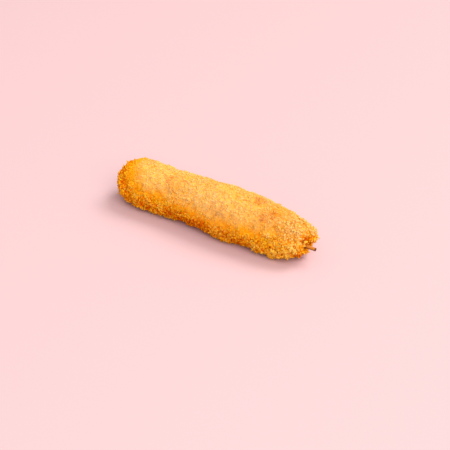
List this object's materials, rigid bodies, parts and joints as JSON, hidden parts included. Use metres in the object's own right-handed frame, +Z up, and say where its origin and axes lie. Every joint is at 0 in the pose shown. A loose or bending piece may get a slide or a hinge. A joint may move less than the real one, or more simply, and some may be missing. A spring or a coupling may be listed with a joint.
{
  "type": "corn dog",
  "caption": "Panko-crusted corn dog on a short bamboo skewer, lying on its side: golden, craggy fried coating with a torn cleft where the skewer leaves the tapered end.",
  "frame": {"origin": "on the resting plane, under the middle of the body, at rest_face", "axes": "+X along the body towards the end that the skewer leaves, +Z up from the resting plane, +Y to the left when looking along +X"},
  "size_m": [0.1789, 0.0422, 0.0396],
  "materials": {
    "crust": "deep-fried breadcrumb coating, golden with browner tips, slightly oily, rough and craggy",
    "bamboo": "split bamboo, fine lengthwise grain, darkened by oil near the crust and at the cut end"
  },
  "bodies": {
    "root": {"crust": "crust", "skewer": "bamboo"}
  },
  "joints": []
}
